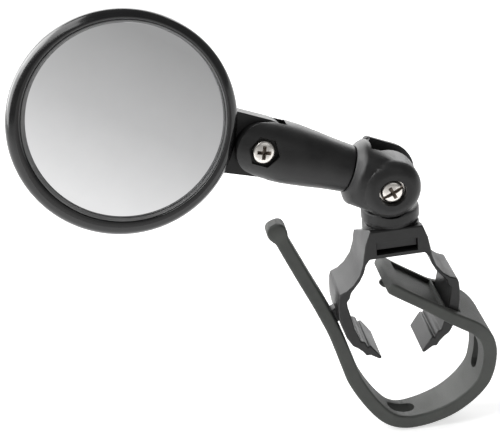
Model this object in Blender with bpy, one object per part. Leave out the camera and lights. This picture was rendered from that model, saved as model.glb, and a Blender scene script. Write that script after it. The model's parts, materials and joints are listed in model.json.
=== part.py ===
"""Bar-mounted round mirror on a jointed arm.

Row frame: origin at the centre of the saddle bridge's flat underside, +Z up,
the bar runs along Y and the mirror faces -Y. Sizes are in millimetres here and
go to metres when a mesh is made.
"""
import math

import bmesh
import bpy
from mathutils import Matrix, Vector

# Driving dimensions, mm and degrees
SADDLE_HALF_W = 6.75      # saddle half width along the bar
STUD_R = 2.5              # swivel stud under the neck
NECK_R = 7.1
TILT_X = -0.85            # elbow tilt axis, along Y
TILT_Z = 18.1
CHEEK_R = 7.4
ARM_RISE = 23.4           # arm axis above the horizontal
ARM_ROLL = 7.9            # arm and head turned about the arm axis
HEAD_BEND = -4.0          # head turned about the hinge screw
SEAM_S = 9.6              # distances along the arm axis from the tilt axis
HINGE_S = 32.3
HEAD_REACH = 33.0         # hinge screw to mirror centre
HEAD_R = 26.45            # widest radius of the mirror head
GLASS_R = 23.3
GLASS_CURVE_R = 300.0     # convex glass radius
SCREW_R = 1.5
HEAD_SCREW_R = 2.8
LINER_T = 2.9
LINER_HALF_W = 8.25
SEG = 40
SEG_HEAD = 72

SCENE = bpy.context.scene
for old in list(bpy.data.objects):
    bpy.data.objects.remove(old, do_unlink=True)


def unit(v):
    return Vector(v).normalized()


B = math.radians(ARM_RISE)
R = math.radians(ARM_ROLL)
ALONG = unit((-math.cos(B), 0.0, math.sin(B)))
FRONT = unit((math.sin(B) * math.sin(R), -math.cos(R), math.cos(B) * math.sin(R)))
UP = ALONG.cross(FRONT)
ARM_O = Vector((TILT_X, 0.0, TILT_Z))


def frame(x, y, z, origin):
    m = Matrix.Identity(4)
    for i, axis in enumerate((x, y, z)):
        for j in range(3):
            m[j][i] = axis[j]
    for j in range(3):
        m[j][3] = origin[j]
    return m


X = Vector((1.0, 0.0, 0.0))
Y = Vector((0.0, 1.0, 0.0))
Z = Vector((0.0, 0.0, 1.0))
UPRIGHT = frame(X, Y, Z, (0.0, 0.0, 0.0))


def facing(px, pz):
    """Local x is row X, local y is row Z, local z points at the viewer side, -Y."""
    return frame(X, Z, -Y, (px, 0.0, pz))


def on_arm(s):
    """Local z runs along the arm, local x is the arm's up."""
    return frame(UP, -FRONT, ALONG, ARM_O + ALONG * s)


def across_arm(s):
    """Local z is the arm's front, local x runs along the arm."""
    return frame(ALONG, -UP, FRONT, ARM_O + ALONG * s)


def add_mesh(name, verts, faces, m, smooth=40.0):
    bm = bmesh.new()
    made = [bm.verts.new((m @ Vector(v)) * 0.001) for v in verts]
    for f in faces:
        bm.faces.new([made[i] for i in f])
    bmesh.ops.remove_doubles(bm, verts=bm.verts, dist=1e-7)
    bmesh.ops.recalc_face_normals(bm, faces=bm.faces)
    me = bpy.data.meshes.new(name)
    bm.to_mesh(me)
    bm.free()
    me.shade_smooth()
    me.set_sharp_from_angle(angle=math.radians(smooth))
    ob = bpy.data.objects.new(name, me)
    SCENE.collection.objects.link(ob)
    return ob


def lathe(name, profile, m, seg=SEG, closed=False):
    """Turn (r, z) points about local z. Open profiles start and end on the axis."""
    verts = []
    rings = []
    for r, z in profile:
        if r < 1e-6:
            rings.append([len(verts)])
            verts.append((0.0, 0.0, z))
            continue
        ring = []
        for k in range(seg):
            a = 2.0 * math.pi * k / seg
            ring.append(len(verts))
            verts.append((r * math.cos(a), r * math.sin(a), z))
        rings.append(ring)
    pairs = list(zip(rings[:-1], rings[1:]))
    if closed:
        pairs.append((rings[-1], rings[0]))
    faces = []
    for a, b in pairs:
        for k in range(seg):
            n = (k + 1) % seg
            if len(a) == 1 and len(b) == 1:
                continue
            if len(a) == 1:
                faces.append((a[0], b[n], b[k]))
            elif len(b) == 1:
                faces.append((a[k], a[n], b[0]))
            else:
                faces.append((a[k], a[n], b[n], b[k]))
    return add_mesh(name, verts, faces, m)


def rings(name, rows, m, seg=SEG, closed=True):
    """Join circles given as (r, z, centre x, centre y), in a loop or with flat ends."""
    verts = []
    for r, z, cx, cy in rows:
        for k in range(seg):
            a = 2.0 * math.pi * k / seg
            verts.append((cx + r * math.cos(a), cy + r * math.sin(a), z))
    n = len(rows)
    faces = []
    for i in range(n if closed else n - 1):
        j = (i + 1) % n
        for k in range(seg):
            q = (k + 1) % seg
            faces.append((i * seg + k, i * seg + q, j * seg + q, j * seg + k))
    if not closed:
        faces.append(tuple(range(seg)))
        faces.append(tuple(range(n * seg - 1, (n - 1) * seg - 1, -1)))
    return add_mesh(name, verts, faces, m)


def rod(name, r, z0, z1, m, seg=SEG):
    return lathe(name, [(0.0, z0), (r, z0), (r, z1), (0.0, z1)], m, seg)


def prism(name, pts, z0, z1, m):
    n = len(pts)
    verts = [(x, y, z0) for x, y in pts] + [(x, y, z1) for x, y in pts]
    faces = [tuple(range(n)), tuple(range(2 * n - 1, n - 1, -1))]
    for i in range(n):
        j = (i + 1) % n
        faces.append((i, j, n + j, n + i))
    return add_mesh(name, verts, faces, m)


def box(name, lo, hi, m):
    pts = [(lo[0], lo[1]), (hi[0], lo[1]), (hi[0], hi[1]), (lo[0], hi[1])]
    return prism(name, pts, lo[2], hi[2], m)


def hexagon(r):
    return [(r * math.cos(math.radians(60 * k)), r * math.sin(math.radians(60 * k)))
            for k in range(6)]


def join(target, tool, op="DIFFERENCE"):
    tool.hide_render = True
    tool.display_type = "WIRE"
    mod = target.modifiers.new(tool.name, "BOOLEAN")
    mod.operation = op
    mod.solver = "EXACT"
    mod.object = tool
    return target


def bevel(ob, width, segments=2, angle=45.0):
    mod = ob.modifiers.new("edge", "BEVEL")
    mod.width = width * 0.001
    mod.segments = segments
    mod.limit_method = "ANGLE"
    mod.angle_limit = math.radians(angle)
    return ob


def arc(cx, cy, r, a0, a1, n):
    pts = []
    for k in range(n + 1):
        a = math.radians(a0 + (a1 - a0) * k / n)
        pts.append((cx + r * math.cos(a), cy + r * math.sin(a)))
    return pts


def smooth_path(pts, per=3):
    """Catmull-Rom points through pts."""
    out = []
    n = len(pts)
    for i in range(n - 1):
        p0 = pts[max(i - 1, 0)]
        p1 = pts[i]
        p2 = pts[i + 1]
        p3 = pts[min(i + 2, n - 1)]
        for k in range(per):
            t = k / per
            row = []
            for a, b, c, d in zip(p0, p1, p2, p3):
                row.append(0.5 * (2 * b + (c - a) * t + (2 * a - 5 * b + 4 * c - d) * t * t
                                  + (3 * b - a - 3 * c + d) * t ** 3))
            out.append(tuple(row))
    out.append(tuple(pts[-1]))
    return out


# Clamp: saddle with bridge, two sprung legs, hook zones and toes
OUTER = [(6.5, 7.4), (7.7, 4.1), (8.3, 1.0), (8.6, -1.1), (9.5, -3.9), (11.2, -6.3),
         (12.9, -7.7), (14.7, -8.4), (15.1, -9.7), (15.3, -12.0), (15.3, -14.5),
         (14.9, -17.3), (13.7, -21.0), (12.3, -23.5), (11.0, -24.4), (9.8, -25.6),
         (8.9, -26.9), (8.1, -26.7), (5.7, -28.3)]
INNER = [(5.1, -28.0), (6.2, -26.3), (7.9, -23.9), (8.6, -24.4), (9.0, -23.0), (9.6, -22.6),
         (10.2, -22.5), (10.5, -21.6), (11.6, -18.6), (12.4, -14.9), (13.0, -12.0),
         (13.1, -10.8), (12.3, -9.9), (12.0, -8.5), (11.0, -7.3), (9.6, -5.6), (8.5, -3.5),
         (7.9, -1.4), (6.9, 0.0)]
half = OUTER + INNER
outline = half + [(-x, z) for x, z in reversed(half)]
saddle = prism("saddle", outline, -SADDLE_HALF_W, SADDLE_HALF_W, facing(0.0, 0.0))
bevel(saddle, 0.25, 1, 25.0)
peg = prism("cut_hook_peg", [(-14.6, -14.6), (-14.2, -18.6), (-16.6, -19.6), (-17.9, -16.2)],
            -1.25, 1.25, facing(0.0, 0.0))
join(saddle, peg, "UNION")
slope = prism("cut_shoulder", [(-5.5, 7.5), (8.5, 1.3), (8.5, 12.0), (-5.5, 12.0)],
              -12.0, 12.0, frame(Y, Z, X, (0.0, 0.0, 0.0)))
join(slope, rod("cut_seat_keep", 7.0, -3.0, 14.0, UPRIGHT))
join(saddle, slope)
join(saddle, box("cut_clip_slot", (-5.1, 1.05, -3.4), (5.1, 4.35, 8.0), facing(0.0, 0.0)))
join(saddle, rod("cut_stud_bore", STUD_R + 0.12, 1.06, 9.0, UPRIGHT))

prism("neck_clip",
      [(-4.9, -5.9), (4.9, -5.9), (4.9, 2.9), (1.85, 2.9)]
      + arc(0.0, 0.0, 1.85, 0.0, -180.0, 14)
      + [(-1.85, 2.9), (-4.9, 2.9)],
      2.15, 4.15, UPRIGHT)
lathe("neck_washer", [(2.9, 7.45), (6.6, 7.45), (6.6, 8.0), (2.9, 8.0)],
      UPRIGHT, closed=True)

# Rubber strap: liner panel, loop and pull tail in one strip
ROUTE = [(-2.6, -7.7, LINER_HALF_W - 0.5, 1.7), (-1.9, -8.2, LINER_HALF_W, LINER_T),
         (1.5, -10.7, LINER_HALF_W, LINER_T), (5.45, -13.45, LINER_HALF_W, LINER_T),
         (9.6, -16.35, 8.4, 3.0), (12.2, -18.0, 9.2, 3.2), (15.2, -19.9, 9.3, 3.4),
         (18.9, -22.5, 9.2, 3.5), (21.3, -25.7, 8.7, 3.5), (22.4, -29.2, 8.0, 3.5),
         (22.6, -32.8, 7.3, 3.5), (22.1, -36.7, 6.7, 3.5), (20.8, -40.4, 6.1, 3.5),
         (17.6, -44.2, 5.6, 3.6), (13.0, -47.5, 5.2, 3.7), (8.05, -49.4, 4.9, 3.7),
         (3.5, -50.25, 4.6, 3.7), (0.3, -50.2, 4.3, 3.7), (-2.6, -49.2, 4.0, 3.7),
         (-5.3, -46.9, 3.7, 3.7), (-8.6, -42.2, 3.3, 3.7), (-11.6, -36.3, 3.0, 3.7),
         (-13.2, -31.0, 2.9, 3.6), (-14.6, -26.0, 2.9, 3.5), (-16.1, -21.0, 2.9, 3.4),
         (-17.9, -16.3, 2.8, 3.4), (-19.6, -12.1, 2.6, 3.4), (-22.6, -5.2, 2.3, 3.4),
         (-25.6, 1.9, 2.1, 3.4), (-27.1, 5.5, 2.0, 3.4), (-27.6, 6.7, 2.1, 4.2),
         (-28.1, 7.9, 2.4, 4.8), (-28.6, 9.0, 2.4, 4.7), (-29.0, 9.9, 2.1, 3.6),
         (-29.2, 10.4, 1.5, 1.8)]


def strip(name, rows, m):
    """Sweep a chamfered rectangle along rows of (x, z, half width, thickness)."""
    verts = []
    faces = []
    n = len(rows)
    for i, (px, pz, hw, t) in enumerate(rows):
        ax, az = rows[max(i - 1, 0)][:2]
        bx, bz = rows[min(i + 1, n - 1)][:2]
        d = math.hypot(bx - ax, bz - az)
        nx, nz = -(bz - az) / d, (bx - ax) / d
        c = min(0.5, 0.25 * t)
        h = 0.5 * t
        for w, o in ((hw - c, h), (hw, h - c), (hw, c - h), (hw - c, -h),
                     (c - hw, -h), (-hw, c - h), (-hw, h - c), (c - hw, h)):
            verts.append((px + nx * o, pz + nz * o, w))
    for i in range(n - 1):
        for k in range(8):
            j = (k + 1) % 8
            faces.append((8 * i + k, 8 * i + j, 8 * i + 8 + j, 8 * i + 8 + k))
    faces.append(tuple(range(8)))
    faces.append(tuple(range(8 * n - 1, 8 * n - 9, -1)))
    return add_mesh(name, verts, faces, m, 50.0)


strap = strip("strap", smooth_path(ROUTE, 2), facing(0.0, 0.0))
join(strap, prism("cut_leg_slot", [(11.5, -13.0), (15.75, -13.0), (15.75, -14.6),
                                   (15.35, -17.4), (14.15, -21.2), (12.7, -24.2),
                                   (9.9, -23.2), (11.15, -18.5)],
                  -7.15, 7.15, facing(0.0, 0.0)))


def oblong(name, x, z, angle, length, half_w):
    """A rounded slot cutter through the strip at (x, z), running at angle."""
    a = math.radians(angle)
    d = Vector((math.cos(a), 0.0, math.sin(a)))
    n = Vector((-math.sin(a), 0.0, math.cos(a)))
    m = frame(d, d.cross(n) * -1.0, n * -1.0, (x, 0.0, z))
    e = 0.5 * length - half_w
    pts = arc(e, 0.0, half_w, -90.0, 90.0, 8) + arc(-e, 0.0, half_w, 90.0, 270.0, 8)
    return prism(name, pts, -4.0, 4.0, m)


join(strap, oblong("cut_slot_right", 22.2, -34.6, -97.0, 9.0, 2.0))
join(strap, oblong("cut_slot_bottom", 0.6, -50.0, 186.0, 7.0, 1.9))
join(strap, oblong("cut_slot_hook", -17.1, -18.2, 111.5, 8.0, 1.55))
tray = frame(unit((0.815, 0.0, -0.579)), Y, unit((0.579, 0.0, 0.815)) * -1.0,
             (4.6, 0.0, -12.9))
join(strap, box("cut_tray", (-5.6, -6.9, -4.0), (6.6, 6.9, -0.55), tray))
nub = lathe("cut_nub", [(0.0, 0.0), (0.75, 0.0), (0.75, 1.5), (1.2, 1.9), (1.2, 2.6),
                        (0.8, 3.0), (0.0, 3.0)],
            frame(Y, unit((0.75, 0.0, -0.66)), unit((-0.66, 0.0, -0.75)),
                  (-0.9, 0.5, -9.1)), 20)
join(strap, nub, "UNION")

# Neck: swivel stud, collar and tilt tongue
T = facing(TILT_X, TILT_Z)
knuckle = lathe("neck_knuckle",
                [(0.0, 1.2), (2.0, 1.2), (2.4, 1.45), (2.4, 2.0), (1.7, 2.05), (1.7, 4.3),
                 (STUD_R, 4.4), (STUD_R, 8.1), (NECK_R - 0.2, 8.1), (NECK_R, 8.35),
                 (NECK_R, 10.4), (NECK_R - 0.25, 10.95), (NECK_R - 0.9, 11.3),
                 (0.0, 11.3)], UPRIGHT)
tongue = arc(0.0, 0.0, 5.9, -54.8, 234.8, 40) + [(-3.4, -8.0), (3.4, -8.0)]
join(knuckle, prism("cut_tongue", tongue, -2.6, 3.4, T), "UNION")
join(knuckle, rod("cut_tongue_bore", SCREW_R + 0.15, -4.0, 5.0, T, 32))
# the collar's front and back shoulders clear the round cheeks
join(knuckle, rod("cut_front_cheek_room", CHEEK_R + 0.35, 3.44, 12.0, T))
join(knuckle, rod("cut_rear_cheek_room", CHEEK_R + 0.15, -12.0, -2.64, T))

for name, z0 in (("elbow_washer_front", 3.45), ("elbow_washer_rear", -3.05)):
    lathe(name, [(1.75, z0), (5.3, z0), (5.3, z0 + 0.4), (1.75, z0 + 0.4)], T, closed=True)

# Elbow: front cheek, roof over the tongue, flared collar and spigot in one moulding
shell = lathe("elbow_shell",
              [(0.0, 0.1), (CHEEK_R, 0.1), (CHEEK_R, 6.2), (7.15, 7.2), (6.5, 8.15),
               (5.6, 8.85), (4.4, 9.2), (0.0, 9.2)], T)
collar = rings("cut_collar", [(7.3, 6.45, -0.15, 0.0), (7.85, 6.75, -0.15, 0.0),
                              (8.05, 7.3, -0.15, 0.0), (7.85, 7.95, -0.1, 0.0),
                              (7.1, 8.65, 0.0, 0.0), (6.1, SEAM_S - 0.3, 0.0, 0.0),
                              (5.8, SEAM_S, 0.0, 0.0)], on_arm(0.0), closed=False)


def blend_body(name, rows):
    """Loft oval sections (s, half height, half depth, power, drop) along the arm axis."""
    verts = []
    for s, hu, hf, power, drop in rows:
        for k in range(SEG):
            a = 2.0 * math.pi * (k + 0.37) / SEG
            c, d = math.cos(a), math.sin(a)
            u = hu * math.copysign(abs(c) ** (2.0 / power), c) - drop
            f = hf * math.copysign(abs(d) ** (2.0 / power), d)
            verts.append((u, f, s))
    n = len(rows)
    faces = [tuple(range(SEG)), tuple(range(n * SEG - 1, (n - 1) * SEG - 1, -1))]
    for i in range(n - 1):
        for k in range(SEG):
            q = (k + 1) % SEG
            faces.append((i * SEG + k, i * SEG + q, (i + 1) * SEG + q, (i + 1) * SEG + k))
    return add_mesh(name, verts, faces, frame(ALONG.cross(Y) * -1.0, Y, ALONG, ARM_O))


# the front cheek runs straight into the collar, while the roof behind it stays round
cheek_blend = blend_body("cut_cheek_blend", [
    (-0.5, CHEEK_R - 0.05, 9.17, 5.2, 0.0), (1.2, 7.4, 9.1, 4.6, 0.0),
    (2.8, 7.5, 8.85, 3.8, 0.05), (4.6, 7.65, 8.5, 3.0, 0.1), (6.2, 7.8, 8.2, 2.5, 0.12),
    (7.4, 7.85, 8.0, 2.2, 0.12), (8.4, 7.1, 7.3, 2.1, 0.05)])
join(cheek_blend, box("cut_blend_back", (-20.0, -20.0, -12.0), (20.0, 20.0, 3.0), T))
spigot = lathe("cut_spigot", [(0.0, 8.0), (3.0, 8.0), (3.0, 12.0), (2.3, 12.05),
                              (2.3, 13.35), (3.0, 13.4), (3.0, 15.9), (2.3, 15.95),
                              (2.3, 16.95), (3.0, 17.0), (3.0, 18.0), (2.6, 18.4),
                              (0.0, 18.4)], on_arm(0.0))
join(shell, collar, "UNION")
join(shell, spigot, "UNION")
join(shell, cheek_blend, "UNION")
join(shell, rod("cut_rear_cheek_seat", 7.7, -12.0, -2.85, T))
# room for the tongue, open at the back and below
room = arc(0.0, 0.0, 6.2, -6.0, 224.0, 34) + arc(0.0, 0.0, 12.0, 224.0, 354.0, 12)
join(shell, prism("cut_tongue_room", room, -12.5, 3.9, T))
seat = [(0.0, 0.5), (SCREW_R + 0.15, 0.5), (SCREW_R + 0.15, 6.9), (3.3, 6.9), (3.3, 12.0),
        (0.0, 12.0)]
join(shell, lathe("cut_screw_seat", seat, T, 32))

def hood_outline(r, top, z):
    """Round about the tilt axis, running straight to a height over the arm axis at s 6.5."""
    c, d = math.cos(B), math.sin(B)
    ex, ey = -6.5 * c, 6.5 * d
    pts = arc(0.0, 0.0, r, -113.4, 66.6, 40)
    pts += [(ex + top * d, ey + top * c), (ex - top * d, ey - top * c)]
    return [(x, y, z) for x, y in pts]


levels = [hood_outline(*row) for row in ((7.95, 8.05, -3.1), (7.9, 7.95, -4.0), (7.5, 7.5, -5.3),
                                         (6.6, 6.7, -6.6), (5.4, 5.55, -7.4), (4.2, 4.3, -7.9))]
n = len(levels[0])
hood_faces = [tuple(range(n)), tuple(range(6 * n - 1, 5 * n - 1, -1))]
for i in range(5):
    for k in range(n):
        q = (k + 1) % n
        hood_faces.append((i * n + k, i * n + q, i * n + n + q, i * n + n + k))
hood = add_mesh("elbow_hood", [v for level in levels for v in level], hood_faces, T)
join(hood, rings("cut_collar_room", [(8.6, 6.15, -0.1, 0.0), (8.7, 8.0, -0.1, 0.0)],
                 on_arm(0.0), closed=False))
skirt = arc(0.0, 0.0, 16.0, -8.0, -188.0, 14) + arc(0.0, 0.0, 6.6, -188.0, -8.0, 24)
join(hood, prism("cut_hood_below", skirt, -12.0, 2.0, T))
join(hood, prism("cut_elbow_nut_seat", hexagon(3.28), -12.0, -5.6, T))
join(hood, rod("cut_hood_bore", SCREW_R + 0.15, -8.0, 0.0, T, 32))


def screw(name, m, seat, length, turn, slot):
    """Pan head seated at local z = seat, shank running to -length below it."""
    h = seat
    ob = lathe(name, [(0.0, h - length), (SCREW_R - 0.35, h - length),
                      (SCREW_R, h - length + 0.4), (SCREW_R, h), (HEAD_SCREW_R, h),
                      (HEAD_SCREW_R, h + 0.75), (HEAD_SCREW_R - 0.2, h + 1.15),
                      (HEAD_SCREW_R - 0.7, h + 1.45), (1.1, h + 1.62),
                      (0.0, h + 1.65)], m, 32)
    spin = m @ Matrix.Rotation(math.radians(turn), 4, "Z")
    for k, (lx, ly) in enumerate(((1.45, 0.27), (0.27, 1.45))):
        tip = box("cut_%s_cross%d" % (name, k), (-lx, -ly, h + 0.5), (lx, ly, h + 3.0), spin)
        join(ob, tip)
    if slot:
        join(ob, box("cut_%s_slot" % name, (-4.0, -0.3, h + 1.0), (4.0, 0.3, h + 3.0), spin))
    return ob


def hex_nut(name, m, z0, z1):
    ob = prism(name, hexagon(3.17), z0, z1, m)
    join(ob, rod("cut_%s_bore" % name, SCREW_R + 0.05, z0 - 1.0, z1 + 1.0, m, 32))
    return ob


screw("elbow_screw", T, 7.36, 14.9, 26.0, True)
lathe("elbow_screw_washer", [(1.62, 6.93), (3.15, 6.93), (3.15, 7.33), (1.62, 7.33)], T, 32,
      closed=True)
hex_nut("elbow_nut", T, -7.8, -5.65)

# Spigot seal and snap ring, carried by the elbow
oring = [(2.775 + 0.44 * math.cos(math.radians(a)), 12.7 + 0.44 * math.sin(math.radians(a)))
         for a in range(0, 360, 45)]
lathe("spigot_seal", oring, on_arm(0.0), 40, closed=True)
prism("spigot_snap_ring", arc(0.0, 0.0, 3.8, 25.0, 335.0, 26) + arc(0.0, 0.0, 2.36, 335.0, 25.0, 26),
      16.1, 16.8, on_arm(0.0))

# Arm: tapered moulding, spigot socket at one end and a fork at the other
arm = lathe("arm",
            [(0.0, 18.9), (3.25, 18.9), (3.25, 17.25), (3.95, 17.2), (3.95, 15.7),
             (3.25, 15.65), (3.25, 9.9), (5.6, 9.9), (5.75, 10.1), (5.95, 12.5),
             (6.25, 15.5), (6.65, 18.5), (7.05, 22.0), (7.35, 25.0), (7.4, 28.0),
             (7.25, 32.3), (7.1, 36.0), (6.95, 39.6), (0.0, 39.6)], on_arm(0.0), 56)
H = across_arm(HINGE_S)
end = [(-4.0, -9.0), (9.0, -9.0), (9.0, 9.0), (-4.0, 9.0), (-4.0, 7.6), (-1.5, 6.95)]
end += arc(0.0, 0.0, 6.35, 78.0, -78.0, 24) + [(-1.5, -6.95), (-4.0, -7.6)]
join(arm, prism("cut_arm_end", end, -10.0, 10.0, H))
gap = arc(0.0, 0.0, 7.5, 145.0, 215.0, 12) + [(-3.1, -8.6), (12.0, -8.6), (12.0, 8.6), (-3.1, 8.6)]
join(arm, prism("cut_fork_gap", gap, -2.6, 2.6, H))
join(arm, prism("cut_screw_pocket", hexagon(3.8), 5.3, 12.0, H))
join(arm, prism("cut_hinge_nut_seat", hexagon(3.28), -12.0, -4.85, H))
join(arm, rod("cut_arm_bore", SCREW_R + 0.15, -12.0, 12.0, H, 32))
screw("hinge_screw", H, 5.35, 12.3, 12.0, False)
hex_nut("hinge_nut", H, -7.1, -4.9)
for name, z0 in (("hinge_washer_front", 2.25), ("hinge_washer_rear", -2.55)):
    lathe(name, [(1.75, z0), (4.6, z0), (4.6, z0 + 0.3), (1.75, z0 + 0.3)], H, 36, closed=True)

# Mirror head
BEND = math.radians(HEAD_BEND)
REACH = ALONG * math.cos(BEND) + UP * math.sin(BEND)
M = frame(REACH, FRONT.cross(REACH), FRONT, ARM_O + ALONG * HINGE_S + REACH * HEAD_REACH)
LUG = HEAD_REACH
housing = lathe("housing",
                [(0.0, -10.4), (6.0, -10.25), (12.0, -9.6), (17.5, -8.4), (21.6, -6.5),
                 (24.3, -4.2), (25.7, -1.6), (26.15, 0.6), (26.2, 2.4), (24.95, 2.4),
                 (24.95, 0.2), (22.4, 0.2), (21.8, -1.6), (19.4, -5.2), (15.5, -7.1),
                 (11.0, -8.2), (0.0, -8.8)], M, SEG_HEAD)
lug = [(-25.4, 7.5)] + arc(-LUG, 0.0, 7.05, 90.0, 270.0, 24) + [(-25.4, -7.5)]
lug += [(-25.6, -4.0), (-25.7, 0.0), (-25.6, 4.0)]
join(housing, prism("cut_lug", lug, -2.2, 2.2, M), "UNION")
join(housing, rod("cut_lug_bore", SCREW_R + 0.15, -4.0, 4.0, H, 32))
# the opening sits a little towards the arm, so the rim is broader on the far side
GX, GY = -0.3, -0.72
rings("bezel",
      [(25.9, 2.6, 0.0, 0.0), (HEAD_R - 0.05, 2.7, 0.0, 0.0), (HEAD_R, 3.3, 0.0, 0.0),
       (26.3, 4.1, 0.0, 0.0), (25.9, 4.8, 0.0, 0.0), (25.3, 5.35, -0.1, 0.0),
       (24.6, 5.7, -0.15, -0.3), (24.05, 5.75, -0.1, GY), (23.65, 5.6, -0.15, GY),
       (23.5, 5.3, GX, GY), (23.5, 0.5, GX, GY), (24.85, 0.5, 0.0, 0.0),
       (24.85, 2.6, 0.0, 0.0)], M, SEG_HEAD)
rings("glass_gasket",
      [(22.85, 4.2, GX - 0.3, GY), (23.45, 4.2, GX, GY), (23.45, 5.3, GX, GY),
       (23.3, 5.4, GX, GY), (22.85, 4.8, GX - 0.3, GY)], M, SEG_HEAD)


def bowl(r, top):
    """Height of the convex glass surface at radius r."""
    return top - (GLASS_CURVE_R - math.sqrt(GLASS_CURVE_R ** 2 - r * r))


GLASS_TOP = 5.0
G = M @ Matrix.Translation((GX, GY, 0.0))
front = [(r, bowl(r, GLASS_TOP)) for r in (23.0, 18.0, 12.0, 6.0, 0.0)]
back = [(r, bowl(r, GLASS_TOP - 2.0)) for r in (0.0, 6.0, 12.0, 18.0, GLASS_R)]
lathe("mirror_glass", back + [(GLASS_R, bowl(GLASS_R, GLASS_TOP) - 0.25)] + front, G, SEG_HEAD)
pad = [(0.0, 0.3), (22.9, 0.3)] + [(r, bowl(r, GLASS_TOP - 2.06)) for r in
                                   (22.9, 18.0, 12.0, 6.0, 0.0)]
lathe("backing_pad", pad, G, SEG_HEAD)

COLOURS = {
    "saddle": (0.03, 0.03, 0.03, 0.5), "strap": (0.055, 0.058, 0.052, 0.75),
    "neck_clip": (0.5, 0.5, 0.5, 0.3), "neck_washer": (0.02, 0.02, 0.02, 0.6),
    "neck_knuckle": (0.035, 0.035, 0.035, 0.5), "elbow_washer_front": (0.6, 0.6, 0.55, 0.6),
    "elbow_washer_rear": (0.6, 0.6, 0.55, 0.6), "elbow_shell": (0.03, 0.03, 0.03, 0.45),
    "elbow_hood": (0.025, 0.025, 0.025, 0.45), "elbow_screw": (0.75, 0.73, 0.7, 0.25),
    "elbow_screw_washer": (0.7, 0.69, 0.67, 0.3), "elbow_nut": (0.7, 0.69, 0.67, 0.3),
    "spigot_seal": (0.02, 0.02, 0.02, 0.7), "spigot_snap_ring": (0.5, 0.5, 0.5, 0.3),
    "arm": (0.03, 0.03, 0.03, 0.45), "hinge_screw": (0.75, 0.73, 0.7, 0.25),
    "hinge_nut": (0.7, 0.69, 0.67, 0.3), "hinge_washer_front": (0.6, 0.6, 0.6, 0.3),
    "hinge_washer_rear": (0.6, 0.6, 0.6, 0.3), "housing": (0.03, 0.03, 0.03, 0.4),
    "bezel": (0.02, 0.02, 0.02, 0.25), "glass_gasket": (0.12, 0.12, 0.12, 0.5),
    "mirror_glass": (0.85, 0.86, 0.87, 0.05), "backing_pad": (0.25, 0.25, 0.25, 0.9),
}
METAL = ("neck_clip", "elbow_screw", "elbow_screw_washer", "elbow_nut", "spigot_snap_ring",
         "hinge_screw", "hinge_nut", "hinge_washer_front", "hinge_washer_rear", "mirror_glass")
for name, (red, green, blue, rough) in COLOURS.items():
    mat = bpy.data.materials.new(name)
    mat.use_nodes = True
    bsdf = mat.node_tree.nodes["Principled BSDF"]
    bsdf.inputs["Base Color"].default_value = (red, green, blue, 1.0)
    bsdf.inputs["Roughness"].default_value = rough
    bsdf.inputs["Metallic"].default_value = 1.0 if name in METAL else 0.0
    bpy.data.objects[name].data.materials.append(mat)
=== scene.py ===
"""Looks of a bar-mounted round mirror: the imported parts, finer skins for the pieces
that show most, their finishes, a pale floor and soft studio light."""
import json
import math

import bmesh
import bpy
import numpy as np
from mathutils import Matrix, Vector

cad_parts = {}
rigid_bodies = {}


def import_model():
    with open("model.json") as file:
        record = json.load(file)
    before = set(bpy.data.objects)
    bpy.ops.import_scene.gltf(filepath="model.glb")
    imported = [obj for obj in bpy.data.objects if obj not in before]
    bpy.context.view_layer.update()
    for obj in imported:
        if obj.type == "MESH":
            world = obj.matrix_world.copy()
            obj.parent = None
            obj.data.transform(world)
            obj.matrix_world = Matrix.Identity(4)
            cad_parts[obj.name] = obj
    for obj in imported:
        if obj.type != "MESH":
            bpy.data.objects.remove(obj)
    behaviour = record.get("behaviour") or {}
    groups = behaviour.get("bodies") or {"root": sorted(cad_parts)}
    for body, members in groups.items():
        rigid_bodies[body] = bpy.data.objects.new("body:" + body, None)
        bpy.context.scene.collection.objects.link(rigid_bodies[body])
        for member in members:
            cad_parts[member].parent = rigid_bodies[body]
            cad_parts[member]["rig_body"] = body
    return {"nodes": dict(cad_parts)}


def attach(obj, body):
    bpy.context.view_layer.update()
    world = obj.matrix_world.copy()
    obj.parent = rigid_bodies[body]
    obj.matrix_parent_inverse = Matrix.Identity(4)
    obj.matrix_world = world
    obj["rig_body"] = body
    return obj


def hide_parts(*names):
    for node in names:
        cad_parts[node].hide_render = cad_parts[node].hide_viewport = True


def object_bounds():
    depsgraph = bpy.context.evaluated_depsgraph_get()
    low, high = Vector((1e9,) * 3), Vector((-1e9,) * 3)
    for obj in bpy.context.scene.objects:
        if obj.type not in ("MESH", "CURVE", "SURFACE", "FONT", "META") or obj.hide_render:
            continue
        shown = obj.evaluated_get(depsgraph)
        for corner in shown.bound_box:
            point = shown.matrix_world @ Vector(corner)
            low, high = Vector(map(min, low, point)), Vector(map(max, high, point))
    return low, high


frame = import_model()
cad_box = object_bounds()
NODES = frame["nodes"]
MM = 0.001
HEAD_SEGMENTS = 256
FLAT_ANGLE = 0.6

# Directions and places shared with the frame, in millimetres and degrees
ARM_RISE = math.radians(23.4)
ARM_ROLL = math.radians(7.9)
HEAD_BEND = math.radians(-4.0)
ALONG = np.array([-math.cos(ARM_RISE), 0.0, math.sin(ARM_RISE)])
FRONT = np.array([math.sin(ARM_RISE) * math.sin(ARM_ROLL), -math.cos(ARM_ROLL),
                  math.cos(ARM_RISE) * math.sin(ARM_ROLL)])
UP = np.cross(ALONG, FRONT)
HINGE_REACH = 32.3
HEAD_REACH = 33.0
ELBOW = np.array([-0.85, 0.0, 18.1])
HINGE = ELBOW + ALONG * HINGE_REACH
REACH = ALONG * math.cos(HEAD_BEND) + UP * math.sin(HEAD_BEND)
HEAD = HINGE + REACH * HEAD_REACH
AXIS_X = np.array([1.0, 0.0, 0.0])
AXIS_Y = np.array([0.0, 1.0, 0.0])
AXIS_Z = np.array([0.0, 0.0, 1.0])
GLASS_SHIFT = (-0.3, -0.72)

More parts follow.
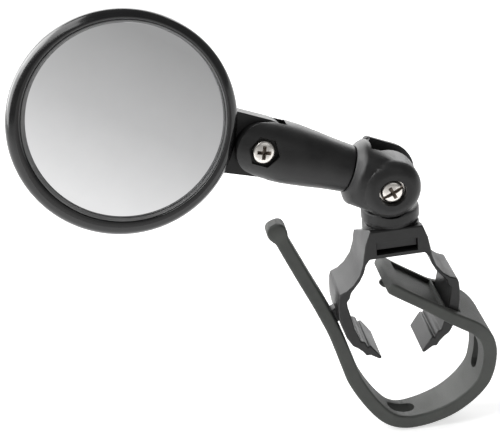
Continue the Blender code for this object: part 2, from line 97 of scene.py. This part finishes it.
# Each frame is (x axis, y axis, z axis, origin)
HEAD_FRAME = (REACH, np.cross(FRONT, REACH), FRONT, HEAD)
GLASS_FRAME = (HEAD_FRAME[0], HEAD_FRAME[1], FRONT,
               HEAD + HEAD_FRAME[0] * GLASS_SHIFT[0] + HEAD_FRAME[1] * GLASS_SHIFT[1])
HINGE_FRAME = (ALONG, -UP, FRONT, HINGE)
ELBOW_FRAME = (AXIS_X, AXIS_Z, -AXIS_Y, ELBOW)
SIDE_FRAME = (AXIS_X, AXIS_Z, -AXIS_Y, np.zeros(3))


# ---------------------------------------------------------------- mesh making
def placed(points, place):
    """Local millimetre points carried into the row frame, in metres:
    origin + x * x axis + y * y axis + z * z axis."""
    x, y, z, origin = place
    return (origin + points[..., 0:1] * x + points[..., 1:2] * y + points[..., 2:3] * z) * MM


def ring_mesh(name, points, capped):
    """Closed rings of points, joined row to row. The ends are capped, or the last row
    joins the first."""
    rows, around = points.shape[:2]
    i = np.arange(rows - 1 if capped else rows)[:, None]
    k = np.arange(around)[None, :]
    nxt = (i + 1) % rows
    turn = (k + 1) % around
    quads = np.stack([i * around + k, i * around + turn, nxt * around + turn,
                      nxt * around + k], -1).reshape(-1, 4).tolist()
    if capped:
        quads.append(list(range(around)))
        quads.append(list(range(rows * around - 1, (rows - 1) * around - 1, -1)))
    mesh = bpy.data.meshes.new(name)
    mesh.from_pydata(points.reshape(-1, 3).tolist(), [], quads)
    return clean(mesh)


def clean(mesh, flat=0.0, sharp=38.0):
    """Merge doubled points, turn the faces outwards and mark the edges sharper than the angle."""
    bm = bmesh.new()
    bm.from_mesh(mesh)
    bmesh.ops.remove_doubles(bm, verts=bm.verts, dist=2e-6)
    if flat:
        bmesh.ops.dissolve_limit(bm, angle_limit=math.radians(flat), verts=bm.verts,
                                 edges=bm.edges)
    bmesh.ops.recalc_face_normals(bm, faces=bm.faces)
    bm.to_mesh(mesh)
    bm.free()
    if "custom_normal" in mesh.attributes:
        mesh.attributes.remove(mesh.attributes["custom_normal"])
    mesh.shade_smooth()
    mesh.set_sharp_from_angle(angle=math.radians(sharp))
    return mesh


def piece(name, mesh, body, slot, material, *stands_for):
    """A finished object in the scene that rides on its body."""
    ob = bpy.data.objects.new(name, mesh)
    bpy.context.scene.collection.objects.link(ob)
    mesh.materials.clear()
    mesh.materials.append(material)
    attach(ob, body)
    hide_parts(*stands_for)
    return ob


def turned(rows, place, around=192):
    """A turned surface: (r cos a + cx, r sin a + cy, z) over the angle a, for rows of
    (r, z, cx, cy)."""
    rows = np.array(rows, float)
    a = np.linspace(0.0, 2.0 * np.pi, around, endpoint=False)
    r, z, cx, cy = (rows[:, k:k + 1] for k in range(4))
    points = np.stack([cx + r * np.cos(a), cy + r * np.sin(a), z + 0.0 * a], -1)
    return placed(points, place)


def rounded(rows, per=5):
    """Rows of numbers filled in with a Catmull-Rom curve, per steps between each two."""
    p = np.array(rows, float)
    p = np.vstack([p[:1], p, p[-1:]])
    t = (np.arange(per) / per)[None, :, None]
    a, b, c, d = (p[k:len(p) - 3 + k][:, None, :] for k in range(4))
    out = 0.5 * (2 * b + (c - a) * t + (2 * a - 5 * b + 4 * c - d) * t ** 2
                 + (3 * b - a - 3 * c + d) * t ** 3)
    return np.vstack([out.reshape(-1, p.shape[1]), p[-1:]])


def prism(name, outline, low, high, place):
    """A straight-sided solid: the outline at the low and at the high height."""
    outline = np.array(outline, float)
    both = np.stack([np.column_stack([outline, np.full(len(outline), h)])
                     for h in (low, high)])
    return ring_mesh(name, placed(both, place), True)


def cut(ob, mesh, op="DIFFERENCE", shade_lining=None):
    """Cut a hidden solid out of a piece, or join it on. A shade lining, when given, is painted
    shade: a darker colour put on the cut's faces for the shade that falls in the recess.
    """
    if shade_lining:
        mesh.materials.append(shade_lining)
    tool = bpy.data.objects.new("tool_" + mesh.name, mesh)
    bpy.context.scene.collection.objects.link(tool)
    tool.hide_render = True
    tool.hide_viewport = True
    tool.display_type = "WIRE"
    mod = ob.modifiers.new(mesh.name, "BOOLEAN")
    mod.operation = op
    mod.solver = "EXACT"
    mod.material_mode = "TRANSFER" if shade_lining else "INDEX"
    mod.object = tool


def soften(ob, width, segments=3, angle=36.0):
    """Moulded edges: a small round on every edge sharper than the angle."""
    mod = ob.modifiers.new("round", "BEVEL")
    mod.width = width * MM
    mod.segments = segments
    mod.limit_method = "ANGLE"
    mod.angle_limit = math.radians(angle)
    mod.use_clamp_overlap = True
    even = ob.modifiers.new("even", "WEIGHTED_NORMAL")
    even.keep_sharp = True


def softened_node(node, slot, material, width):
    """A merged copy of a frame piece with moulded edges, in place of the piece."""
    mesh = NODES[node].data.copy()
    mesh.name = node + "_skin"
    clean(mesh, FLAT_ANGLE)
    soften(piece(node + "_skin", mesh, NODES[node]["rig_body"], slot, material, node), width)


# ---------------------------------------------------------------- finishes
def links(tree, pairs):
    for out, into in pairs:
        tree.links.new(out, into)


def group(name, inputs, outputs):
    """An empty shader group with float or colour sockets."""
    tree = bpy.data.node_groups.new(name, "ShaderNodeTree")
    for label, kind, value in inputs:
        made = tree.interface.new_socket(label, in_out="INPUT", socket_type=kind)
        made.default_value = value
    for label, kind in outputs:
        tree.interface.new_socket(label, in_out="OUTPUT", socket_type=kind)
    return tree, tree.nodes.new("NodeGroupInput"), tree.nodes.new("NodeGroupOutput")


def noise(tree, source, scale, detail, rough=0.5):
    node = tree.nodes.new("ShaderNodeTexNoise")
    node.inputs["Scale"].default_value = scale
    node.inputs["Detail"].default_value = detail
    node.inputs["Roughness"].default_value = rough
    tree.links.new(source, node.inputs["Vector"])
    return node.outputs["Fac"]


def remap(tree, value, low, high, from_low=0.3, from_high=0.7):
    node = tree.nodes.new("ShaderNodeMapRange")
    node.inputs["From Min"].default_value = from_low
    node.inputs["From Max"].default_value = from_high
    for socket, end in (("To Min", low), ("To Max", high)):
        if isinstance(end, (int, float)):
            node.inputs[socket].default_value = end
        else:
            tree.links.new(end, node.inputs[socket])
    tree.links.new(value, node.inputs["Value"])
    return node.outputs["Result"]


def moulded_group():
    """Moulded surface: colour, roughness and height vary with fine grain and slow cloud."""
    tree, gin, gout = group(
        "moulded_surface",
        [("Vector", "NodeSocketVector", (0, 0, 0)), ("Dark", "NodeSocketColor", (0, 0, 0, 1)),
         ("Light", "NodeSocketColor", (0.1, 0.1, 0.1, 1)),
         ("Rough Low", "NodeSocketFloat", 0.3), ("Rough High", "NodeSocketFloat", 0.5)],
        [("Color", "NodeSocketColor"), ("Roughness", "NodeSocketFloat"),
         ("Height", "NodeSocketFloat")])
    grain = noise(tree, gin.outputs["Vector"], 5200.0, 3.0, 0.6)
    cloud = noise(tree, gin.outputs["Vector"], 190.0, 4.0, 0.55)
    mix = tree.nodes.new("ShaderNodeMix")
    mix.data_type = "RGBA"
    share = remap(tree, cloud, 0.0, 1.0)
    links(tree, [(share, mix.inputs[0]), (gin.outputs["Dark"], mix.inputs[6]),
                 (gin.outputs["Light"], mix.inputs[7]), (mix.outputs[2], gout.inputs["Color"]),
                 (remap(tree, cloud, gin.outputs["Rough Low"], gin.outputs["Rough High"]),
                  gout.inputs["Roughness"]),
                 (grain, gout.inputs["Height"])])
    return tree


MOULDED = moulded_group()


def finish(name, dark, light, rough, bump=0.0, metallic=0.0, coat=0.0, specular=0.5):
    """A material on the moulded surface group."""
    mat = bpy.data.materials.new(name)
    mat.use_nodes = True
    tree = mat.node_tree
    shader = tree.nodes["Principled BSDF"]
    where = tree.nodes.new("ShaderNodeTexCoord")
    skin = tree.nodes.new("ShaderNodeGroup")
    skin.node_tree = MOULDED
    skin.inputs["Dark"].default_value = (*dark, 1.0)
    skin.inputs["Light"].default_value = (*light, 1.0)
    skin.inputs["Rough Low"].default_value = rough[0]
    skin.inputs["Rough High"].default_value = rough[1]
    shader.inputs["Metallic"].default_value = metallic
    shader.inputs["Specular IOR Level"].default_value = specular
    shader.inputs["Coat Weight"].default_value = coat
    shader.inputs["Coat Roughness"].default_value = 0.08
    links(tree, [(where.outputs["Object"], skin.inputs["Vector"]),
                 (skin.outputs["Color"], shader.inputs["Base Color"]),
                 (skin.outputs["Roughness"], shader.inputs["Roughness"])])
    if bump:
        node = tree.nodes.new("ShaderNodeBump")
        node.inputs["Strength"].default_value = bump
        node.inputs["Distance"].default_value = 0.00005
        links(tree, [(skin.outputs["Height"], node.inputs["Height"]),
                     (node.outputs["Normal"], shader.inputs["Normal"])])
    return mat


NYLON = finish("black_nylon", (0.010, 0.010, 0.0102), (0.017, 0.017, 0.017), (0.34, 0.44), 0.25,
               specular=0.36)
DEEP_NYLON = finish("hood_nylon", (0.010, 0.010, 0.010), (0.016, 0.016, 0.016), (0.40, 0.50), 0.2)
GLOSS = finish("gloss_rim", (0.006, 0.006, 0.0065), (0.009, 0.009, 0.009), (0.14, 0.19), 0.03,
               coat=0.2)
RUBBER = finish("strap_rubber", (0.036, 0.0385, 0.0345), (0.054, 0.0575, 0.052), (0.55, 0.68), 0.9)
SEAL = finish("seal_rubber", (0.015, 0.015, 0.015), (0.022, 0.022, 0.022), (0.6, 0.7), 0.3)
GASKET = finish("gasket_grey", (0.11, 0.11, 0.11), (0.15, 0.15, 0.15), (0.45, 0.55), 0.2)
FOAM = finish("foam_grey", (0.20, 0.20, 0.20), (0.28, 0.28, 0.28), (0.85, 0.95), 1.0)
NICKEL = finish("bright_nickel", (0.74, 0.71, 0.67), (0.84, 0.81, 0.77), (0.20, 0.30), 0.12,
                metallic=1.0)
# Painted shade: a dark brownish metal colour for the faces cut into the screw heads, standing in
# for the shade in the cross and slot recesses.
RECESS_PAINTED_SHADE = finish("recess_painted_shade", (0.16, 0.13, 0.11), (0.30, 0.26, 0.22), (0.45, 0.60), 0.3,
                metallic=0.8)
STEEL = finish("spring_steel", (0.012, 0.012, 0.012), (0.020, 0.020, 0.020), (0.55, 0.65), 0.2)
WASHER = finish("washer_nylon", (0.50, 0.50, 0.46), (0.60, 0.60, 0.55), (0.5, 0.6), 0.2)
MIRROR = finish("silvered_glass", (0.90, 0.91, 0.92), (0.92, 0.93, 0.94), (0.012, 0.02),
                metallic=1.0)
PLAIN = {"neck_clip": STEEL, "neck_washer": SEAL, "elbow_washer_front": WASHER,
         "elbow_washer_rear": WASHER, "elbow_screw_washer": NICKEL, "elbow_nut": NICKEL,
         "spigot_seal": SEAL, "spigot_snap_ring": STEEL, "hinge_nut": NICKEL,
         "hinge_washer_front": STEEL, "hinge_washer_rear": STEEL, "backing_pad": FOAM}
for node, material in PLAIN.items():
    NODES[node].data.materials.clear()
    NODES[node].data.materials.append(material)

# ---------------------------------------------------------------- moulded pieces
MOULDED_PIECES = (("saddle", NYLON, 0.22), ("neck_knuckle", NYLON, 0.15),
                  ("elbow_shell", NYLON, 0.22), ("elbow_hood", DEEP_NYLON, 0.15),
                  ("arm", NYLON, 0.2), ("housing", NYLON, 0.25))
for node, material, width in MOULDED_PIECES:
    softened_node(node, "black_plastic", material, width)

# ---------------------------------------------------------------- mirror head
GX, GY = GLASS_SHIFT
BEZEL_ROWS = [(25.9, 2.6, 0, 0), (26.3, 2.62, 0, 0), (26.45, 2.8, 0, 0), (26.45, 3.4, 0, 0),
              (26.3, 4.1, 0, 0), (25.9, 4.8, 0, 0), (25.3, 5.35, -0.1, 0),
              (24.6, 5.7, -0.15, -0.3), (24.05, 5.75, -0.1, GY), (23.65, 5.6, -0.15, GY),
              (23.5, 5.3, GX, GY)]
bezel_rows = np.vstack([rounded(BEZEL_ROWS, 6),
                        [(23.5, 0.5, GX, GY), (24.85, 0.5, 0, 0), (24.85, 2.6, 0, 0)]])
bezel_mesh = ring_mesh("bezel_ring", turned(bezel_rows, HEAD_FRAME, HEAD_SEGMENTS), False)
piece("bezel_ring", bezel_mesh, "mirror_head", "gloss_rim", GLOSS, "bezel")
GASKET_ROWS = [(22.85, 4.2, GX - 0.3, GY), (23.45, 4.2, GX, GY), (23.45, 5.25, GX, GY),
               (23.38, 5.38, GX, GY), (23.22, 5.38, GX - 0.1, GY), (22.85, 4.85, GX - 0.3, GY)]
gasket_mesh = ring_mesh("gasket_ring", turned(GASKET_ROWS, HEAD_FRAME, HEAD_SEGMENTS), False)
piece("gasket_ring", gasket_mesh, "mirror_head", "gasket_grey", GASKET, "glass_gasket")


def bowl(r, top, curve=300.0):
    """Height of the convex glass: top - (R - sqrt(R^2 - r^2))."""
    return top - (curve - np.sqrt(curve ** 2 - r ** 2))


GLASS_R = 23.3
GLASS_TOP = 5.0
GLASS_THICK = 2.0
face = np.linspace(0.02, GLASS_R - 0.3, 40)
back = np.linspace(GLASS_R, 0.02, 12)
glass_rows = [(r, bowl(r, GLASS_TOP), 0, 0) for r in face]
glass_rows += [(GLASS_R, bowl(GLASS_R, GLASS_TOP) - 0.25, 0, 0)]
glass_rows += [(r, bowl(r, GLASS_TOP - GLASS_THICK), 0, 0) for r in back]
glass_mesh = ring_mesh("convex_glass", turned(glass_rows, GLASS_FRAME, HEAD_SEGMENTS), True)
piece("convex_glass", glass_mesh, "mirror_head", "mirror_glass", MIRROR, "mirror_glass")

# ---------------------------------------------------------------- screws
SCREW_HEAD = [(2.8, 0.0), (2.8, 0.5), (2.77, 0.72), (2.66, 0.98), (2.42, 1.24), (2.0, 1.44),
              (1.45, 1.56), (0.8, 1.63), (0.02, 1.65)]


def cross_tool(name, seat, place, turn):
    """A tapered cross: a twelve-point plus sign that narrows from the head's top down."""
    rows = []
    for z, reach, half in ((seat + 0.15, 0.5, 0.24), (seat + 0.9, 1.3, 0.36),
                           (seat + 2.4, 2.1, 0.52)):
        plus = [(reach, -half), (reach, half), (half, half), (half, reach), (-half, reach),
                (-half, half), (-reach, half), (-reach, -half), (-half, -half),
                (-half, -reach), (half, -reach), (half, -half)]
        rows.append([(x, y, z) for x, y in plus])
    points = np.array(rows, float)
    c, s = math.cos(turn), math.sin(turn)
    spun = np.stack([points[..., 0] * c - points[..., 1] * s,
                     points[..., 0] * s + points[..., 1] * c, points[..., 2]], -1)
    return ring_mesh(name, placed(spun, place), True)


def pan_screw(node, body, place, seat, length, turn, slotted):
    """A pan head screw: a turned head and shank, with a cross and perhaps a slot cut in."""
    head = rounded(SCREW_HEAD, 4)
    rows = [(0.02, seat - length, 0, 0), (1.15, seat - length, 0, 0),
            (1.5, seat - length + 0.4, 0, 0), (1.5, seat, 0, 0)]
    rows += [(max(r, 0.02), seat + z, 0, 0) for r, z in head]
    ob = piece(node + "_head", ring_mesh(node + "_head", turned(rows, place, 72), True), body,
               "nickel_steel", NICKEL, node)
    # The cross and the slot are lined with the painted recess shade.
    cut(ob, cross_tool(node + "_cross", seat, place, turn), shade_lining=RECESS_PAINTED_SHADE)
    if slotted:
        c, s = math.cos(turn), math.sin(turn)
        half = 0.36
        bar = [(-4 * c + half * s, -4 * s - half * c), (4 * c + half * s, 4 * s - half * c),
               (4 * c - half * s, 4 * s + half * c), (-4 * c - half * s, -4 * s + half * c)]
        cut(ob, prism(node + "_slot", bar, seat + 0.8, seat + 3.0, place), shade_lining=RECESS_PAINTED_SHADE)
    soften(ob, 0.06, 2)


pan_screw("elbow_screw", "elbow", ELBOW_FRAME, 7.36, 14.9, math.radians(26.0), True)
pan_screw("hinge_screw", "arm", HINGE_FRAME, 5.35, 12.3, math.radians(12.0), False)

# ---------------------------------------------------------------- strap
# (x, z, half width, thickness) down the middle of the strap, the same as in the part
STRAP_ROUTE = [
    (-2.6, -7.7, 7.75, 1.7), (-1.9, -8.2, 8.25, 2.9), (1.5, -10.7, 8.25, 2.9),
    (5.45, -13.45, 8.25, 2.9), (9.6, -16.35, 8.4, 3.0), (12.2, -18.0, 9.2, 3.2),
    (15.2, -19.9, 9.3, 3.4), (18.9, -22.5, 9.2, 3.5), (21.3, -25.7, 8.7, 3.5),
    (22.4, -29.2, 8.0, 3.5), (22.6, -32.8, 7.3, 3.5), (22.1, -36.7, 6.7, 3.5),
    (20.8, -40.4, 6.1, 3.5), (17.6, -44.2, 5.6, 3.6), (13.0, -47.5, 5.2, 3.7),
    (8.05, -49.4, 4.9, 3.7), (3.5, -50.25, 4.6, 3.7), (0.3, -50.2, 4.3, 3.7),
    (-2.6, -49.2, 4.0, 3.7), (-5.3, -46.9, 3.7, 3.7), (-8.6, -42.2, 3.3, 3.7),
    (-11.6, -36.3, 3.0, 3.7), (-13.2, -31.0, 2.9, 3.6), (-14.6, -26.0, 2.9, 3.5),
    (-16.1, -21.0, 2.9, 3.4), (-17.9, -16.3, 2.8, 3.4), (-19.6, -12.1, 2.6, 3.4),
    (-22.6, -5.2, 2.3, 3.4), (-25.6, 1.9, 2.1, 3.4), (-27.1, 5.5, 2.0, 3.4),
    (-27.6, 6.7, 2.1, 4.2), (-28.1, 7.9, 2.4, 4.8), (-28.6, 9.0, 2.4, 4.7),
    (-29.0, 9.9, 2.1, 3.6), (-29.2, 10.4, 1.5, 1.8)]


def strap_surface():
    """A rounded oblong carried along the strap's route. At each point of the route the
    section is a rectangle, half width by thickness, with quarter-round corners, laid across
    the route's direction."""
    rows = rounded(STRAP_ROUTE, 9)
    path, half, thick = rows[:, :2], rows[:, 2:3], rows[:, 3:4]
    along = np.gradient(path, axis=0)
    along /= np.linalg.norm(along, axis=1, keepdims=True)
    side = np.column_stack([-along[:, 1], along[:, 0]])
    radius = np.minimum(0.62, 0.32 * thick)
    quarter = np.linspace(0.0, np.pi / 2, 7)
    across, out = [], []
    for start, sx, sy in ((0.0, 1, 1), (1.0, -1, 1), (2.0, -1, -1), (3.0, 1, -1)):
        a = quarter + start * np.pi / 2
        across.append(sx * (half - radius) + radius * np.cos(a))
        out.append(sy * (thick / 2 - radius) + radius * np.sin(a))
    across, out = np.hstack(across), np.hstack(out)
    flat = path[:, None, :] + side[:, None, :] * out[..., None]
    points = np.concatenate([flat, across[..., None]], -1)
    return ring_mesh("strap_skin", placed(points, SIDE_FRAME), True)


def oblong(name, x, z, angle, length, half):
    """A slot tool: two half circles joined by straight sides, through the strap."""
    a = math.radians(angle)
    d = np.array([math.cos(a), 0.0, math.sin(a)])
    n = np.array([-math.sin(a), 0.0, math.cos(a)])
    place = (d, -np.cross(d, n), -n, np.array([x, 0.0, z]))
    t = np.linspace(-np.pi / 2, np.pi / 2, 13)
    e = 0.5 * length - half
    right = np.column_stack([e + half * np.cos(t), half * np.sin(t)])
    return prism(name, np.vstack([right, -right]), -4.0, 4.0, place)


strap = piece("strap_skin", strap_surface(), "clamp", "strap_rubber", RUBBER, "strap")
cut(strap, prism("leg_window", [(11.5, -13.0), (15.75, -13.0), (15.75, -14.6), (15.35, -17.4),
                                (14.15, -21.2), (12.7, -24.2), (9.9, -23.2), (11.15, -18.5)],
                 -7.15, 7.15, SIDE_FRAME))
cut(strap, oblong("slot_right", 22.2, -34.6, -97.0, 9.0, 2.0))
cut(strap, oblong("slot_bottom", 0.6, -50.0, 186.0, 7.0, 1.9))
cut(strap, oblong("slot_hook", -17.1, -18.2, 111.5, 8.0, 1.55))
TRAY_ALONG = np.array([0.815, 0.0, -0.579])
TRAY_OUT = np.array([-0.579, 0.0, -0.815])
TRAY = (TRAY_ALONG, AXIS_Y, TRAY_OUT, np.array([4.6, 0.0, -12.9]))
cut(strap, prism("tray_floor", [(-5.6, -6.9), (6.6, -6.9), (6.6, 6.9), (-5.6, 6.9)],
                 -4.0, -0.55, TRAY))
NUB_OUT = np.array([-0.66, 0.0, -0.75])
NUB = (AXIS_Y, np.array([0.75, 0.0, -0.66]), NUB_OUT, np.array([-0.9, 0.5, -9.1]))
nub_rows = rounded([(0.75, 0.0), (0.75, 1.5), (1.2, 1.9), (1.2, 2.6), (0.8, 3.0), (0.02, 3.0)], 3)
nub_rows = [(0.02, 0.0, 0, 0)] + [(max(r, 0.02), z, 0, 0) for r, z in nub_rows]
cut(strap, ring_mesh("nub", turned(nub_rows, NUB, 32), True), "UNION")
soften(strap, 0.18, 2, 50.0)

# ---------------------------------------------------------------- camera, floor, light
CAMERA_AZ, CAMERA_EL, CAMERA_ROLL = (math.radians(v) for v in (-5.257, 25.861, -5.586))
CAMERA_PLACE = (-0.061828, -0.299584, 0.158301)
CAMERA_LENS = 99.94


def make_camera():
    back = Vector((math.sin(CAMERA_AZ) * math.cos(CAMERA_EL),
                   -math.cos(CAMERA_AZ) * math.cos(CAMERA_EL), math.sin(CAMERA_EL)))
    level = Vector((math.cos(CAMERA_AZ), math.sin(CAMERA_AZ), 0.0))
    over = back.cross(level)
    c, s = math.cos(CAMERA_ROLL), math.sin(CAMERA_ROLL)
    right, up = level * c + over * s, over * c - level * s
    m = Matrix((right, up, back)).transposed().to_4x4()
    m.translation = CAMERA_PLACE
    data = bpy.data.cameras.new("view")
    data.lens = CAMERA_LENS
    data.sensor_width = 36.0
    cam = bpy.data.objects.new("view", data)
    cam.matrix_world = m
    bpy.context.scene.collection.objects.link(cam)
    bpy.context.scene.camera = cam


def softbox(name, place, aim, wide, high, power, fills=True):
    """A rectangular area light that looks at a point. One that doesn't fill only shows in gloss."""
    data = bpy.data.lights.new(name, "AREA")
    data.shape = "RECTANGLE"
    data.size, data.size_y = wide, high
    data.energy = power
    ob = bpy.data.objects.new(name, data)
    ob.location = place
    ob.rotation_euler = (Vector(aim) - Vector(place)).to_track_quat("-Z", "Y").to_euler()
    ob.visible_diffuse = fills
    bpy.context.scene.collection.objects.link(ob)


def stage_mesh(name, corners, material):
    mesh = bpy.data.meshes.new(name)
    mesh.from_pydata(corners, [], [(0, 1, 2, 3)])
    mesh.materials.append(material)
    ob = bpy.data.objects.new(name, mesh)
    bpy.context.scene.collection.objects.link(ob)
    return ob


# The floor is this far under the object, and the card stands this far in front of it. The
# card's gradient runs between the low and the high distance along its slope. All in metres.
FLOOR_GAP = 0.0004
CARD_Y = -0.16
CARD_LOW, CARD_HIGH = -0.056, 0.046


def floor_material():
    mat = bpy.data.materials.new("pale_floor")
    mat.use_nodes = True
    shader = mat.node_tree.nodes["Principled BSDF"]
    shader.inputs["Base Color"].default_value = (0.93, 0.93, 0.93, 1.0)
    shader.inputs["Roughness"].default_value = 0.9
    shader.inputs["Specular IOR Level"].default_value = 0.0
    shader.inputs["Emission Color"].default_value = (1.0, 1.0, 1.0, 1.0)
    shader.inputs["Emission Strength"].default_value = 0.6
    return mat


def card_material():
    """A card whose light falls off from its lower left to its upper right. Only gloss sees it:
    it stands for what the mirror reflects, and it stays put when the mirror is turned."""
    mat = bpy.data.materials.new("soft_card")
    mat.use_nodes = True
    tree = mat.node_tree
    tree.nodes.clear()
    out = tree.nodes.new("ShaderNodeOutputMaterial")
    glow = tree.nodes.new("ShaderNodeEmission")
    where = tree.nodes.new("ShaderNodeTexCoord")
    dot = tree.nodes.new("ShaderNodeVectorMath")
    dot.operation = "DOT_PRODUCT"
    dot.inputs[1].default_value = (0.573, 0.0, 0.819)
    ramp = tree.nodes.new("ShaderNodeValToRGB")
    stops = ramp.color_ramp.elements
    stops.new(0.5)
    for stop, (at, level) in zip(stops, ((0.0, 0.88), (0.5, 0.56), (1.0, 0.36))):
        stop.position, stop.color = at, (level, level * 0.99, level * 0.985, 1.0)
    links(tree, [(where.outputs["Object"], dot.inputs[0]),
                 (remap(tree, dot.outputs["Value"], 0.0, 1.0, CARD_LOW, CARD_HIGH),
                  ramp.inputs["Fac"]),
                 (ramp.outputs["Color"], glow.inputs["Color"]),
                 (glow.outputs["Emission"], out.inputs["Surface"])])
    return mat


make_camera()
low = cad_box[0].z - FLOOR_GAP
stage_mesh("floor", [(-3, -3, low), (3, -3, low), (3, 3, low), (-3, 3, low)],
           floor_material())
card = stage_mesh("card", [(-0.14, CARD_Y, -0.052), (0.06, CARD_Y, -0.052),
                           (0.06, CARD_Y, 0.11), (-0.14, CARD_Y, 0.11)], card_material())
card.visible_camera = False
card.visible_diffuse = False
card.visible_shadow = False
card.visible_transmission = False

CLAMP_AIM = (-0.02, 0.0, 0.0)
ARM_AIM = (-0.05, 0.0, 0.03)
softbox("key", (-0.42, 0.02, 0.50), CLAMP_AIM, 0.55, 0.55, 3.6)
softbox("rear", (0.05, 0.62, 0.42), CLAMP_AIM, 0.9, 0.45, 2.2)
softbox("front", (0.25, -0.55, 0.45), CLAMP_AIM, 0.5, 0.4, 0.35)
softbox("backdrop_glow", (-0.25, 0.80, 0.36), ARM_AIM, 2.2, 0.85, 17.0, False)
softbox("side_glow", (-0.60, 0.10, 0.30), ARM_AIM, 0.7, 0.7, 8.0, False)

world = bpy.data.worlds.new("studio")
bpy.context.scene.world = world
world.use_nodes = True
world.node_tree.nodes["Background"].inputs["Color"].default_value = (1.0, 1.0, 1.0, 1.0)
world.node_tree.nodes["Background"].inputs["Strength"].default_value = 0.22
bpy.context.scene.view_settings.view_transform = "Standard"
